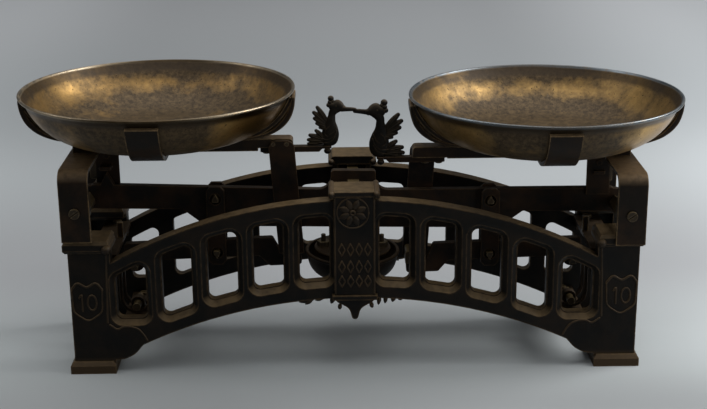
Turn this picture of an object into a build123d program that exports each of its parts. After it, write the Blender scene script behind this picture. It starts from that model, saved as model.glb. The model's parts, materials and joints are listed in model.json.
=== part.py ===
from build123d import *
import os
from math import asin, cos, degrees, radians, sin, sqrt

# Equal-arm counter balance with two loose pans above the beam.
# X runs along the beam with the right-hand pan at +X, Y runs to the rear and Z up. The origin is on the
# bench under the middle of the frame. Sizes are millimetres. Heights are those of the level balance, and
# rest_tilt sets how far it leans at rest, as an idle balance with worn knives does.

# Frame
frame_length = 544
frame_depth = 132
frame_thick = 15
web_thick = 9
leg_width = 40
leg_depth = 30
leg_wall = 6
leg_top = 123
foot_height = 12
overhang = 4
arch_radius = 482
arch_crown = 172
arch_foot = 74
rail_height = 17
window_first = 24
window_pitch = 44
window_width = 28.5
last_window_width = 29
last_window_sill = 54
window_corner = 6
border_outer = 5.5
border_inner = 1.2

# Middle pillars and their caps
pillar_half = 19.5
pillar_front = 71
pillar_top = 177
pillar_inner = 42
cap_half = 21.5
cap_thick = 5
cap_inner = 38
cap_outer = 73
scroll_radius = 2.2
rear_neck = 3.7

# Linkage: distances from the middle, measured to the knife edges
rest_tilt = 1.1
tilt_limit = 2.5
stop_gap = 0.4
beam_height = 160
lever_height = 94
end_knife_x = 258
link_x = 135
inner_knife_x = 60
fulcrum_x = link_x * (end_knife_x - inner_knife_x) / (end_knife_x - link_x)
lever_reach = fulcrum_x - inner_knife_x
link_reach = fulcrum_x - link_x
beam_drop = end_knife_x * sin(radians(rest_tilt))
lever_tilt = degrees(asin(link_x * sin(radians(rest_tilt)) / link_reach))
end_shift = end_knife_x * (cos(radians(rest_tilt)) - 1)

# Knives and bearings
knife_half = 5.5
knife_bevel = 9
knife_depth = 14
end_knife_scale = 0.85
small_knife = 0.57
groove = 5
free_gap = 0.1
pin_gap = 0.05

# Beam
beam_plate = 8
beam_top = 7.2
beam_waist = 3.6
beam_belly = 35
beam_tail = 17.5
belly_x = 145
tail_x = 168
head_half = 22
head_top = 23
head_corner = 3
head_fillet = 12
boss_radius = 15

# Carriers
pan_x = 187
pan_floor = 216
pan_floor_radius = 70
pan_side_radius = 60
pan_side_angle = 68
rim_radius = 132.5
rim_height = 261
rim_bead = 3
pan_wall = 1.6
arm_width = 30
arm_thick = 4
arm_tip = 255
arm_gap = 0.3
rib_bottom = 200
rib_half = 8
rib_outer = 271
rib_inner = 58
strap_x = 261
strap_width = 28
strap_inner = 71
strap_thick = 3
strap_bottom = 131
strap_bend = 12
block_half = 10
block_depth = 11
block_back = 4
post_width = 25
post_thick = 4

os.makedirs("parts", exist_ok=True)


def save(piece, name):
    """Name a finished piece and write it."""
    piece.part.label = name
    export_step(piece.part, f"parts/{name}.step")


def side_view(towards, x=0.0, z=0.0, turn=0.0):
    """Upright plane at Y = 0. Its x runs along +X or -X (towards), turned by the tilt, and its y runs up."""
    angle = radians(turn)
    return Plane(
        origin=(x, 0, z),
        x_dir=(towards * cos(angle), 0, -towards * sin(angle)),
        z_dir=(0, -towards, 0),
    )


def plan_view(towards, x=0.0, z=0.0, turn=0.0):
    """Level plane. Its x runs along +X or -X (towards), turned with the tilt, its z runs up."""
    angle = radians(turn)
    return Plane(
        origin=(x, 0, z),
        x_dir=(towards * cos(angle), 0, -towards * sin(angle)),
        z_dir=(sin(angle), 0, cos(angle)),
    )


def end_view(towards, x=0.0, z=0.0):
    """Upright plane across the balance. Its y runs up, its z runs along +X or -X (towards)."""
    return Plane(origin=(x, 0, z), x_dir=(0, towards, 0), z_dir=(towards, 0, 0))


def arch(crown, x):
    """Height of an arch with its highest point at crown."""
    return crown - arch_radius + sqrt(arch_radius**2 - x**2)


def arch_band(plane, low, high, reach):
    """Face between two arches of one radius, as far as reach on each side."""
    with BuildSketch(plane) as band:
        with BuildLine():
            ThreePointArc((-reach, arch(high, reach)), (0, high), (reach, arch(high, reach)))
            Line((reach, arch(high, reach)), (reach, arch(low, reach)))
            ThreePointArc((reach, arch(low, reach)), (0, low), (-reach, arch(low, reach)))
            Line((-reach, arch(low, reach)), (-reach, arch(high, reach)))
        make_face()
    return band.sketch


def window(plane, side, number, grow=0.0):
    """Outline of one window of the side frame. The last one has a level sill, lower down."""
    last = number == 4
    inner = window_first + number * window_pitch
    outer = inner + (last_window_width if last else window_width)
    middle = (inner + outer) / 2
    head, sill = arch_crown - rail_height, arch_foot + rail_height
    top = [(side * x, arch(head, x)) for x in (inner, middle, outer)]
    low = [(side * x, last_window_sill if last else arch(sill, x)) for x in (outer, middle, inner)]
    with BuildSketch(plane) as opening:
        with BuildLine():
            ThreePointArc(*top)
            Line(top[2], low[0])
            if last:
                Line(low[0], low[2])
            else:
                ThreePointArc(*low)
            Line(low[2], top[0])
        make_face()
        fillet(vertices(), window_corner)
        if grow:
            offset(amount=grow, kind=Kind.ARC)
    return opening.sketch


def knife_section(plane, x, edge_up, scale=1.0, y=0.0):
    """Section of a knife with its edge at x, y of the plane."""
    down = -scale if edge_up else scale
    half = knife_half * scale
    with BuildSketch(plane) as section:
        with BuildLine():
            Polyline(
                (x, y),
                (x + half, y + knife_bevel * down),
                (x + half, y + knife_depth * down),
                (x - half, y + knife_depth * down),
                (x - half, y + knife_bevel * down),
                close=True,
            )
        make_face()
    return section.sketch


half_length = frame_length / 2
front_y = frame_depth / 2
inner_y = front_y - frame_thick
leg_inner = half_length - leg_width
leg_x = half_length - leg_width / 2
leg_y = front_y - leg_depth / 2
sides = (-1, 1)
names = {-1: "left", 1: "right"}

# Cross ties and the lugs that carry them.
top_tie_x, top_tie_width, top_tie_z = 241, 26, 112
low_tie_x, low_tie_width, low_tie_z = fulcrum_x, 24, 34
ties = ((top_tie_x, top_tie_width, top_tie_z), (low_tie_x, low_tie_width, low_tie_z))
tie_thick = 4
lug_depth = 12
lug_height = 8
tie_screw_y = inner_y - lug_depth / 2

# Seat of the middle bearing.
seat_half = 14
seat_bottom = beam_height - 14
seat_outer = front_y - 4

# Side frame: an arched casting with five windows each side of the middle pillar, on two legs.
with BuildPart() as front_side_frame:
    back = Plane.XZ.offset(inner_y)
    with BuildSketch(back):
        for side in sides:
            with Locations((side * leg_x, foot_height - 2)):
                Rectangle(leg_width, leg_top - foot_height + 3, align=(Align.CENTER, Align.MIN))
            # Curved bracket between the arch and the foot of the leg.
            with BuildLine():
                top = (side * 190, arch(arch_foot, 190) + 12)
                start = (side * 190, arch(arch_foot, 190))
                corner = (side * (leg_inner + 2), 13)
                Spline(
                    start,
                    (side * 204, 29),
                    (side * 212, 20),
                    (side * 220, 15),
                    corner,
                    tangents=((side, -0.42), (side, 0)),
                )
                Polyline(corner, (corner[0], 50), top, start)
            make_face()
    extrude(amount=frame_thick)
    extrude(arch_band(back, arch_foot, arch_crown, leg_inner + 2), amount=frame_thick)
    # Each window lies in a border that slopes back from the ribs to the web.
    for side in sides:
        for number in range(5):
            front_edge = window(Plane.XZ.offset(front_y), side, number, border_outer)
            web_edge = window(Plane.XZ.offset(inner_y + web_thick), side, number, border_inner)
            loft([front_edge.face(), web_edge.face()], ruled=True, mode=Mode.SUBTRACT)
            opening = window(Plane.XZ.offset(inner_y - 1), side, number)
            extrude(opening, amount=web_thick + 2, mode=Mode.SUBTRACT)
    # Outer wall of each leg, its moulded flange and its foot.
    with BuildSketch(Plane.XY.offset(foot_height - 2)):
        with Locations(*[(side * (half_length - leg_wall / 2), -leg_y) for side in sides]):
            Rectangle(leg_wall, leg_depth)
    extrude(amount=leg_top - foot_height + 3)
    mouldings = ((leg_top, 3, -35), (leg_top + 3, 6, 0), (leg_top + 9, 3, 35), (0, 8, 0), (8, 4, 35))
    for base, height, slope in mouldings:
        inset = 2 if slope < 0 else 0
        with BuildSketch(Plane.XY.offset(base)):
            with Locations(*[(side * (leg_x + overhang / 2), -leg_y) for side in sides]):
                Rectangle(leg_width + overhang - 2 * inset, leg_depth + 2 * overhang - 2 * inset)
        extrude(amount=height, taper=slope)
    # Middle pillar: plaque with a ledge, a pointed drop below it and the bracket that holds the bearing.
    with BuildSketch(back):
        with Locations((0, arch_foot)):
            Rectangle(2 * pillar_half, pillar_top - arch_foot, align=(Align.CENTER, Align.MIN))
    extrude(amount=pillar_front - inner_y)
    with BuildSketch(back):
        with Locations((0, arch_foot)):
            Rectangle(2 * pillar_half + 4, 4.5, align=(Align.CENTER, Align.MIN))
    extrude(amount=pillar_front - inner_y + 2)
    with BuildSketch(Plane.XZ.offset(inner_y + 2)):
        with BuildLine():
            shoulder = (pillar_half, arch_foot + 1)
            Line((0, arch_foot + 1), shoulder)
            Spline(shoulder, (12, 66), (5.5, 61), (3.6, 55), (0, 51), tangents=((0, -1), (-1, 0)))
            Line((0, 51), (0, arch_foot + 1))
        make_face()
        mirror(about=Plane.YZ)
    extrude(amount=frame_thick - 4)
    with BuildSketch(Plane.XZ.offset(pillar_inner)):
        with Locations((0, pillar_top)):
            Rectangle(2 * pillar_half - 1, 57, align=(Align.CENTER, Align.MAX))
    extrude(amount=inner_y - pillar_inner)
    with BuildSketch(Plane.XZ.offset(pillar_inner - 1)):
        with Locations((0, seat_bottom)):
            Rectangle(2 * seat_half, 60, align=(Align.CENTER, Align.MIN))
    extrude(amount=seat_outer - pillar_inner + 1, mode=Mode.SUBTRACT)
    # Lugs for the cross ties.
    for x, width, z in ties:
        spots = [(side * x, -inner_y + lug_depth / 2) for side in sides]
        with BuildSketch(Plane.XY.offset(z)):
            with Locations(*spots):
                Rectangle(width - 4, lug_depth)
        extrude(amount=-lug_height)
        with BuildSketch(Plane.XY.offset(z)):
            with Locations(*spots):
                Circle(2.5 + pin_gap)
        extrude(amount=-lug_height, mode=Mode.SUBTRACT)
save(front_side_frame, "front_side_frame")

with BuildPart() as rear_side_frame:
    mirror(front_side_frame.part, about=Plane.XZ)
save(rear_side_frame, "rear_side_frame")

# Cap of each pillar, with a rolled end at each side. The rear one stands on a short neck.
for name, towards, neck in (("front", 1, 0), ("rear", -1, rear_neck)):
    with BuildPart() as cap:
        with BuildSketch(side_view(towards).offset(cap_inner)):
            with Locations((0, pillar_top + neck)):
                Rectangle(2 * cap_half, cap_thick, align=(Align.CENTER, Align.MIN))
            fillet(vertices().group_by(Axis.Y)[-1], cap_thick * 0.6)
            with Locations(*[(side * (cap_half + 0.4), pillar_top + neck) for side in sides]):
                Circle(scroll_radius)
            if neck:
                with Locations((0, pillar_top)):
                    Rectangle(2 * pillar_half - 3, neck, align=(Align.CENTER, Align.MIN))
        extrude(amount=cap_outer - cap_inner)
    save(cap, f"{name}_pillar_cap")

# Middle bearings: steel blocks with a wide groove for the knife.
for name, towards in (("front", 1), ("rear", -1)):
    with BuildPart() as bearing:
        with BuildSketch(side_view(towards, z=beam_height).offset(pillar_inner + 2)):
            with Locations((0, groove)):
                Rectangle(2 * seat_half, groove + 14, align=(Align.CENTER, Align.MAX))
            with BuildLine():
                Polyline((0, 0), (9, 5.2), (-9, 5.2), close=True)
            make_face(mode=Mode.SUBTRACT)
        extrude(amount=seat_outer - pillar_inner - 2)
    save(bearing, f"{name}_bearing")

# Cross ties at both ends of the frame, high and low.
for side in sides:
    for level, (x, width, z) in zip(("top", "low"), ties):
        with BuildPart() as tie:
            with BuildSketch(Plane.XY.offset(z)):
                with Locations((side * x, 0)):
                    Rectangle(width, 2 * inner_y)
                with Locations((side * x, tie_screw_y), (side * x, -tie_screw_y)):
                    Circle(2.5 + pin_gap, mode=Mode.SUBTRACT)
            extrude(amount=tie_thick)
        save(tie, f"{names[side]}_{level}_tie")

with BuildPart() as tie_screws:
    for x, width, z in ties:
        spots = [(i * x, j * tie_screw_y, z + tie_thick) for i in sides for j in sides]
        with Locations(*spots):
            Cylinder(4.5, 2.5, align=(Align.CENTER, Align.CENTER, Align.MIN))
            Cylinder(2.5, tie_thick + lug_height - 1, align=(Align.CENTER, Align.CENTER, Align.MAX))
        with Locations(*[(px, py, pz + 2.5) for px, py, pz in spots]):
            Box(9, 1.1, 1.2, align=(Align.CENTER, Align.CENTER, Align.MAX), mode=Mode.SUBTRACT)
save(tie_screws, "tie_screws")

# Limit stops: tongues on the upper ties that catch the tail of the beam.
stop_x = top_tie_x - 10
stop_top = beam_height - beam_tail - stop_x * sin(radians(tilt_limit)) - stop_gap
with BuildPart() as limit_stops:
    with Locations(*[(side * stop_x, 0, top_tie_z + tie_thick) for side in sides]):
        Box(6, 3.5, stop_top - top_tie_z - tie_thick, align=(Align.CENTER, Align.CENTER, Align.MIN))
save(limit_stops, "limit_stops")

# Anchors: a bracket on the low tie, a pin through it and two rings that hold down the lever's outer end.
ring_radius = 13
ring_thick = 3.2
ring_depth = 6
ring_inner_y = 7
pin_radius = 4
pin_z = 47
bracket_half = 4
ring_centres = (lever_height - ring_radius) - (pin_z - pin_radius + ring_radius)
ring_middle = (lever_height + pin_z - pin_radius) / 2
for side in sides:
    with BuildPart() as bracket:
        with BuildSketch(side_view(1, x=side * low_tie_x, z=low_tie_z + tie_thick)):
            Rectangle(20, 4, align=(Align.CENTER, Align.MIN))
            reach = pin_z - low_tie_z - tie_thick
            Rectangle(14, reach, align=(Align.CENTER, Align.MIN))
            with Locations((0, reach)):
                Circle(7)
                Circle(pin_radius, mode=Mode.SUBTRACT)
        extrude(amount=bracket_half, both=True)
    save(bracket, f"{names[side]}_anchor_bracket")

    with BuildPart() as pin:
        with BuildSketch(side_view(1, x=side * low_tie_x, z=pin_z)):
            Circle(pin_radius)
        extrude(amount=ring_inner_y + ring_depth + 2, both=True)
    save(pin, f"{names[side]}_anchor_pin")

    with BuildPart() as rings:
        for face in (-1, 1):
            middle_y = face * (ring_inner_y + ring_depth / 2)
            with BuildSketch(side_view(1, x=side * low_tie_x, z=ring_middle).offset(middle_y)):
                SlotCenterToCenter(ring_centres, 2 * (ring_radius + ring_thick), rotation=90)
                SlotCenterToCenter(ring_centres, 2 * ring_radius, rotation=90, mode=Mode.SUBTRACT)
            extrude(amount=ring_depth / 2, both=True)
    save(rings, f"{names[side]}_anchor_rings")

# Beam: one deep plate with slim tails, a raised head over the middle knife and bosses at the end knives.
beam_plane = side_view(1, z=beam_height, turn=rest_tilt)
head_step = head_half + head_fillet
tongue_half = 9
tongue_foot = 56
lug_x = 241
with BuildPart() as main_beam:
    with BuildSketch(beam_plane):
        with BuildLine():
            shoulder = (head_half, beam_waist + head_fillet)
            hollow = head_fillet * (1 - cos(radians(45)))
            FilletPolyline((0, head_top), (head_half, head_top), shoulder, radius=head_corner)
            ThreePointArc(shoulder, (head_half + hollow, beam_waist + hollow), (head_step, beam_waist))
            FilletPolyline(
                (head_step, beam_waist),
                (end_knife_x, beam_top),
                (end_knife_x, -beam_tail),
                (tail_x, -beam_tail),
                (belly_x, -beam_belly),
                (tongue_half, -beam_belly),
                (tongue_half, -tongue_foot),
                (0, -tongue_foot),
                radius=4,
            )
            Line((0, -tongue_foot), (0, head_top))
        make_face()
        with Locations((end_knife_x, -6)):
            Circle(12)
        with BuildLine():
            lug_foot = beam_top - 1
            Polyline((lug_x - 7, lug_foot), (lug_x + 7, lug_foot), (lug_x, lug_foot + 12.8), close=True)
        make_face()
        mirror(about=Plane.YZ)
    extrude(amount=beam_plate / 2, both=True)
    with BuildSketch(beam_plane):
        with Locations((0, -1)):
            Circle(boss_radius)
        with Locations((link_x, -4), (-link_x, -4)):
            Circle(8.5)
    extrude(amount=beam_plate / 2 + 1.5, both=True)
    with BuildSketch(beam_plane):
        with Locations((0, 2)):
            Rectangle(24, 20)
    extrude(amount=14, both=True)
    cutters = [(0, False, 1.0)]
    cutters += [(side * end_knife_x, True, end_knife_scale) for side in sides]
    cutters += [(side * link_x, True, small_knife) for side in sides]
    for x, edge_up, size in cutters:
        extrude(knife_section(beam_plane, x, edge_up, size), amount=30, both=True, mode=Mode.SUBTRACT)
save(main_beam, "main_beam")

knife_half_length = seat_outer - 2.5
end_knife_half_length = strap_inner - block_back - 0.4
link_knife_half_length = 13
with BuildPart() as centre_knife:
    extrude(knife_section(beam_plane, 0, False), amount=knife_half_length, both=True)
save(centre_knife, "centre_knife")

for side in sides:
    with BuildPart() as end_knife:
        section = knife_section(beam_plane, side * end_knife_x, True, end_knife_scale)
        extrude(section, amount=end_knife_half_length, both=True)
    save(end_knife, f"{names[side]}_end_knife")

with BuildPart() as link_knives:
    for side in sides:
        section = knife_section(beam_plane, side * link_x, True, small_knife)
        extrude(section, amount=link_knife_half_length, both=True)
save(link_knives, "link_knives")

# Tare pot under the beam: a round cup with a lid, held by two screws with nuts.
pot_radius = 36
pot_depth = 27
pot_wall = 2.5
lid_thick = 3
pot_screw_x = 29
pot_top = -tongue_foot - lid_thick
lid_plane = plan_view(1, z=beam_height, turn=rest_tilt)
screw_spots = [(pot_screw_x, 0), (-pot_screw_x, 0)]
with BuildPart() as tare_lid:
    with BuildSketch(lid_plane.offset(pot_top)):
        Circle(pot_radius + 2)
        with Locations(*screw_spots):
            Circle(2.3 + pin_gap, mode=Mode.SUBTRACT)
    extrude(amount=lid_thick)
    chamfer(edges().filter_by(GeomType.CIRCLE).sort_by(SortBy.RADIUS)[-2:], 0.8)
save(tare_lid, "tare_lid")

with BuildPart() as tare_pot:
    base = pot_top - pot_depth
    bend = 10
    with BuildSketch(beam_plane):
        with BuildLine():
            FilletPolyline((0, base), (pot_radius, base), (pot_radius, pot_top), radius=bend)
            Line((pot_radius, pot_top), (pot_radius - pot_wall, pot_top))
            rim = (pot_radius - pot_wall, pot_top)
            FilletPolyline(rim, (rim[0], base + pot_wall), (0, base + pot_wall), radius=bend - pot_wall)
            Line((0, base + pot_wall), (0, base))
        make_face()
    revolve(axis=Axis(beam_plane.origin, beam_plane.y_dir))
    with BuildSketch(lid_plane.offset(pot_top)):
        with Locations(*screw_spots):
            Circle(5)
    extrude(amount=-10)
    with BuildSketch(lid_plane.offset(pot_top)):
        with Locations(*screw_spots):
            Circle(2.3 + pin_gap)
    extrude(amount=-8, mode=Mode.SUBTRACT)
save(tare_pot, "tare_pot")

with BuildPart() as tare_screws:
    with BuildSketch(lid_plane.offset(pot_top - 8)):
        with Locations(*screw_spots):
            Circle(2.3)
    extrude(amount=8 + lid_thick + 12)
save(tare_screws, "tare_screws")

with BuildPart() as tare_nuts:
    with BuildSketch(lid_plane.offset(-tongue_foot)):
        with Locations(*screw_spots):
            RegularPolygon(6.5, 6)
            Circle(2.3 + pin_gap, mode=Mode.SUBTRACT)
    extrude(amount=5)
save(tare_nuts, "tare_nuts")

# Links: two side plates joined by a spacer between the beam and the lever.
link_half = 9
link_inner_y = 6.5
link_plate = 4
link_hole = 5.5
link_top = 7
link_corner = 4
link_drop = beam_height - lever_height
for side in sides:
    angle = radians(rest_tilt)
    top_x = side * link_x * cos(angle)
    top_z = beam_height - side * link_x * sin(angle)
    link_plane = side_view(1, x=top_x, z=top_z)
    low_hole = -link_drop + link_hole - free_gap
    with BuildPart() as link:
        for face in (-1, 1):
            with BuildSketch(link_plane.offset(face * (link_inner_y + link_plate / 2))):
                with Locations((0, -link_drop / 2)):
                    Rectangle(2 * link_half, link_drop + 2 * link_top)
                chamfer(vertices(), link_corner)
                with Locations((0, -link_hole), (0, low_hole)):
                    Circle(link_hole, mode=Mode.SUBTRACT)
            extrude(amount=link_plate / 2, both=True)
        with BuildSketch(link_plane):
            with Locations((0, -42)):
                Rectangle(12, 5)
        extrude(amount=link_inner_y + 0.5, both=True)
    save(link, f"{names[side]}_link")

# Levers: a straight bar that steps down at its inner end, so the foot of the post can straddle it.
lever_plate = 8
lever_crown = 16.5
for side in sides:
    lever_plane = side_view(-side, x=side * fulcrum_x, z=lever_height, turn=-lever_tilt)
    step = lever_reach - 20
    lever_knives = ((0, True), (link_reach, False), (lever_reach, True))
    with BuildPart() as lever:
        with BuildSketch(lever_plane):
            with BuildLine():
                FilletPolyline(
                    (-10, -2),
                    (-10, lever_crown),
                    (step, lever_crown),
                    (step + 9, -1.5),
                    (lever_reach + 8, -1.5),
                    (lever_reach + 8, -13),
                    (step - 4, -13),
                    (step - 14, -2),
                    radius=3,
                    close=True,
                )
            make_face()
            with Locations((0, -4)):
                Circle(9)
        extrude(amount=lever_plate / 2, both=True)
        for x, edge_up in lever_knives:
            section = knife_section(lever_plane, x, edge_up, small_knife)
            extrude(section, amount=lever_plate, both=True, mode=Mode.SUBTRACT)
    save(lever, f"{names[side]}_lever")

    with BuildPart() as knives:
        for x, edge_up in lever_knives:
            extrude(knife_section(lever_plane, x, edge_up, small_knife), amount=14, both=True)
    save(knives, f"{names[side]}_lever_knives")

# Pans: spun brass bowls with a flat floor and a rolled rim. They lift off their crosses.
side_end = radians(90 - pan_side_angle)
side_centre = (pan_floor_radius, pan_floor + pan_side_radius)


def bowl_side(radius):
    """End of the curved side of the bowl, for an arc of this radius."""
    return side_centre[0] + radius * cos(side_end), side_centre[1] - radius * sin(side_end)


def up_the_side(start, height):
    """Point at this height on the straight part of the side."""
    slope = sin(radians(pan_side_angle)) / cos(radians(pan_side_angle))
    return start[0] + (height - start[1]) / slope, height


for side in sides:
    lift = -side * beam_drop
    centre_x = side * (pan_x + end_shift)
    with BuildPart() as pan:
        with BuildSketch(side_view(1, x=centre_x, z=lift)):
            outer = bowl_side(pan_side_radius)
            inner = bowl_side(pan_side_radius - pan_wall)
            lip = up_the_side(outer, rim_height)
            inside_lip = (lip[0] - pan_wall / sin(radians(pan_side_angle)), rim_height)
            with BuildLine():
                Line((0, pan_floor), (pan_floor_radius, pan_floor))
                CenterArc(side_centre, pan_side_radius, -90, pan_side_angle)
                Line(outer, lip)
                Line(lip, inside_lip)
                Line(inside_lip, inner)
                CenterArc(side_centre, pan_side_radius - pan_wall, -90, pan_side_angle)
                Line((pan_floor_radius, pan_floor + pan_wall), (0, pan_floor + pan_wall))
                Line((0, pan_floor + pan_wall), (0, pan_floor))
            make_face()
            with Locations((rim_radius - rim_bead, rim_height - 1)):
                Circle(rim_bead)
        revolve(axis=Axis((centre_x, 0, 0), (0, 0, 1)))
    save(pan, f"{names[side]}_pan")

# Crosses: four upturned arms on a long rib that reaches from the end strap to the inner post.
arm_root = pan_floor - arm_thick
arm_inner = pan_side_radius + arm_gap
arm_outer = arm_inner + arm_thick


def arm_profile(plane, origin):
    """Side view of a pair of opposite arms that follow the bowl, about x = origin."""
    with BuildSketch(plane) as profile:
        with Locations((origin, 0)):
            with BuildLine():
                inner = bowl_side(arm_inner)
                outer = bowl_side(arm_outer)
                inner_tip = up_the_side(inner, arm_tip)
                outer_tip = (inner_tip[0] + arm_thick * sin(radians(pan_side_angle)), 0)
                outer_tip = (outer_tip[0], arm_tip - arm_thick * cos(radians(pan_side_angle)))
                Line((0, pan_floor), (pan_floor_radius - 6, pan_floor))
                Line((pan_floor_radius - 6, pan_floor), (pan_floor_radius, pan_floor - arm_gap))
                CenterArc(side_centre, arm_inner, -90, pan_side_angle)
                Line(inner, inner_tip)
                Line(inner_tip, outer_tip)
                Line(outer_tip, outer)
                CenterArc(side_centre, arm_outer, -90, pan_side_angle)
                Line((pan_floor_radius, arm_root - arm_gap), (0, arm_root - arm_gap))
                Line((0, arm_root - arm_gap), (0, pan_floor))
            make_face()
            mirror(about=Plane.YZ)
    return profile.sketch


rivet_radius = 2
post_rivets = ((64, 207.6), (77, 207.6))
foot_rivet = (inner_knife_x + 0.5, 101)
bar_rivets = (70.5, 84)
strap_rivets = (strap_x - 4.5, strap_x + 6)
bar_thick = 5.5
bar_outer = 90
bar_end = 4
tip_thick = 2.5
stud_radius = 1.5
post_near, post_far, post_low = 4.6, 6.5, 161
key_x, key_height, key_length, key_width = 241, 184, 11, 3.6
key_back, key_front = -8, 9.5
eye_height, eye_radius = 193.5, 2.8

# The pointers were set by hand until they met, so each bar and duck has its own place, lean and size.
bar_top = {-1: 203, 1: 201}
stud_x = {-1: 24.6, 1: 27.4}
duck_lean = {-1: 0, 1: 8.4}
duck_size = {-1: 0.92, 1: 1.06}


def rivet_holes(plane, spots, depth):
    """Holes of the rivet size at these points of the plane, drilled both ways from it."""
    with BuildSketch(plane) as holes:
        with Locations(*spots):
            Circle(rivet_radius + pin_gap)
    extrude(holes.sketch, amount=depth, both=True, mode=Mode.SUBTRACT)


def rivets(plane, spots, length, headed=True):
    """Rivets with low heads on the plane, or flush with it, their shanks behind it."""
    if headed:
        with BuildSketch(plane) as heads:
            with Locations(*spots):
                Circle(2 * rivet_radius)
        extrude(heads.sketch, amount=0.8)
        extrude(heads.sketch.moved(Location(0.8 * plane.z_dir)), amount=0.9, taper=40)
    with BuildSketch(plane) as shanks:
        with Locations(*spots):
            Circle(rivet_radius)
    extrude(shanks.sketch, amount=-length)


# Side view of a duck about its stud, facing the middle: body, head with its crest, wing and tail.
with BuildSketch() as duck_outline:
    with BuildLine():
        Line((-3.5, 0), (17, 0))
        back = Spline((17, 0), (9, 9), (5.2, 20), (0.8, 30), (-1.2, 38))
        Line(back @ 1, (-7.3, 38))
        Spline((-7.3, 38), (-7.2, 29), (-10.1, 22.3), (-11.6, 13), (-8.7, 5), (-3.5, 0))
    make_face()
    for centre, radius in (((-9.4, 42.3), 6.4), ((-4.4, 46), 3), ((-1.5, 44.6), 2), ((-3.6, 50), 3)):
        with Locations(centre):
            Circle(radius)
    feathers = (
        ((-1, 26), 53, 21.5),
        ((-1, 26), 38, 20),
        ((-1, 25), 22, 16.5),
        ((-1, 24), 4, 12),
        ((2, 6), 51, 15.5),
        ((2, 6), 22, 18),
        ((2, 4), 0, 18.5),
    )
    for root, lean, length in feathers:
        reach = length / 2
        turn = radians(lean)
        with Locations((root[0] + reach * cos(turn), root[1] + reach * sin(turn))):
            Ellipse(reach, 3.2, rotation=lean)

with BuildSketch() as duck_beak:
    with BuildLine():
        Polyline((-13, 42.3), (-31.5, 41), (-31.5, 38.2), (-22, 37.6), (-13, 36.6), close=True)
    make_face()

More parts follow.
